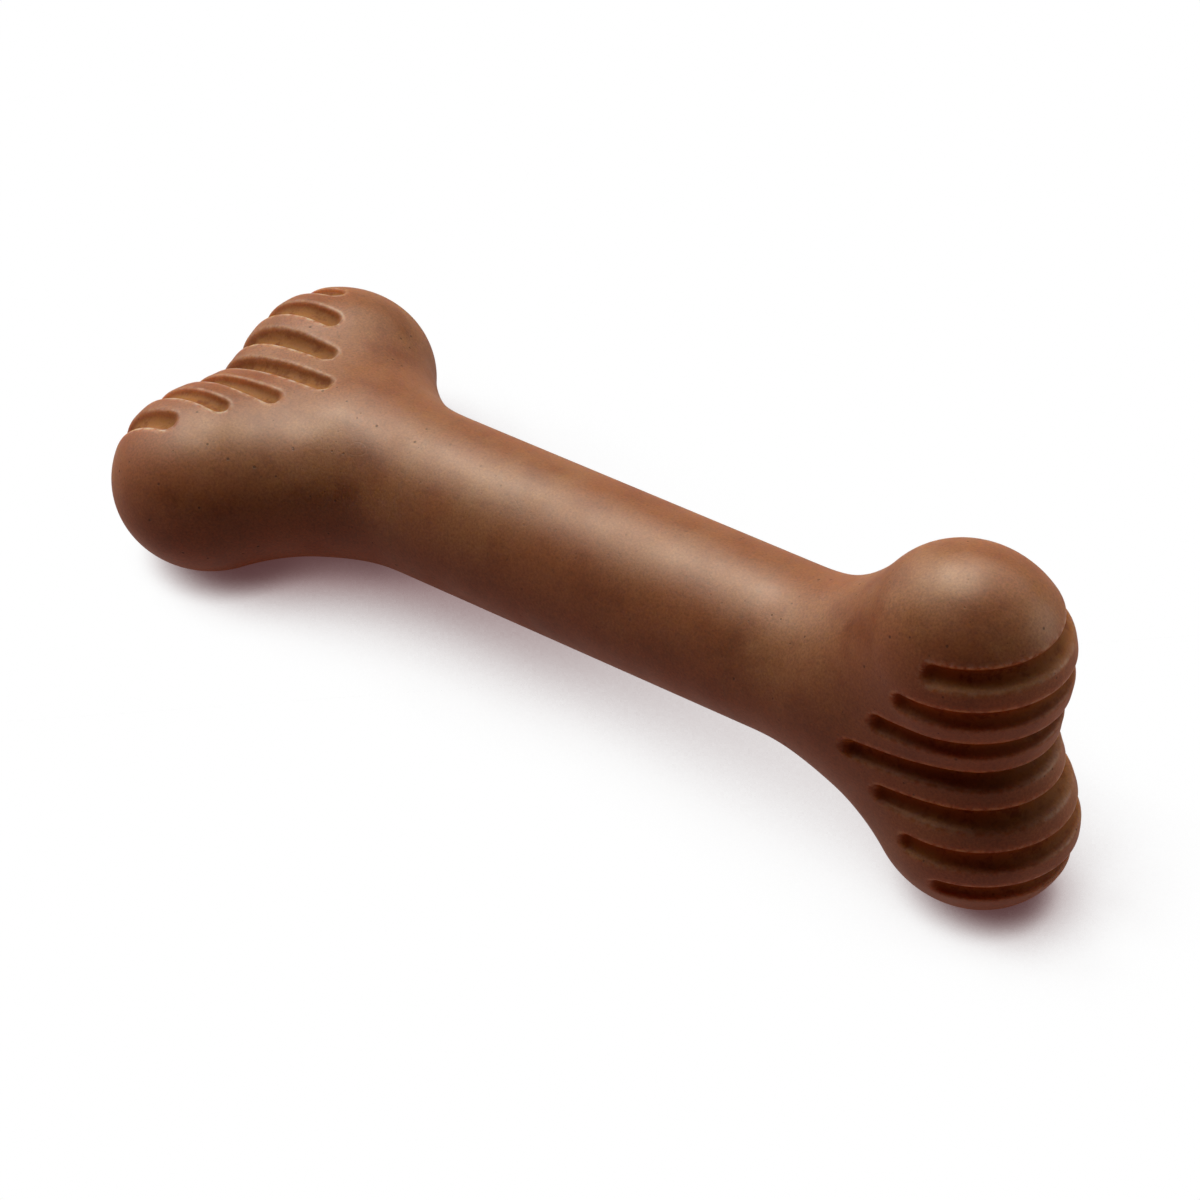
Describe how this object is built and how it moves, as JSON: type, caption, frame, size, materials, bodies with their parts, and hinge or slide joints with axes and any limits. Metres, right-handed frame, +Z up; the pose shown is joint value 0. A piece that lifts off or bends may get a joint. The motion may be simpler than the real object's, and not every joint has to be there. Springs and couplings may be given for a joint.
{
  "type": "bone-shaped dog toy",
  "caption": "Solid bone-shaped chew toy for a dog: a round shaft between lobed, grooved knuckles that are set a quarter turn apart, so it lies tipped up on its lobes.",
  "frame": {"origin": "on the ground, under the middle of the toy as it lies on its lobes", "axes": "+X along the toy from the flat knuckle to the upright one, +Y across, +Z up"},
  "size_m": [0.1656, 0.0616, 0.0614],
  "materials": {
    "brown_nylon": "satin, fine grained and faintly mottled, chocolate brown"
  },
  "bodies": {
    "root": {"shaft": "brown_nylon", "flat_knuckle": "brown_nylon", "upright_knuckle": "brown_nylon"}
  },
  "joints": []
}
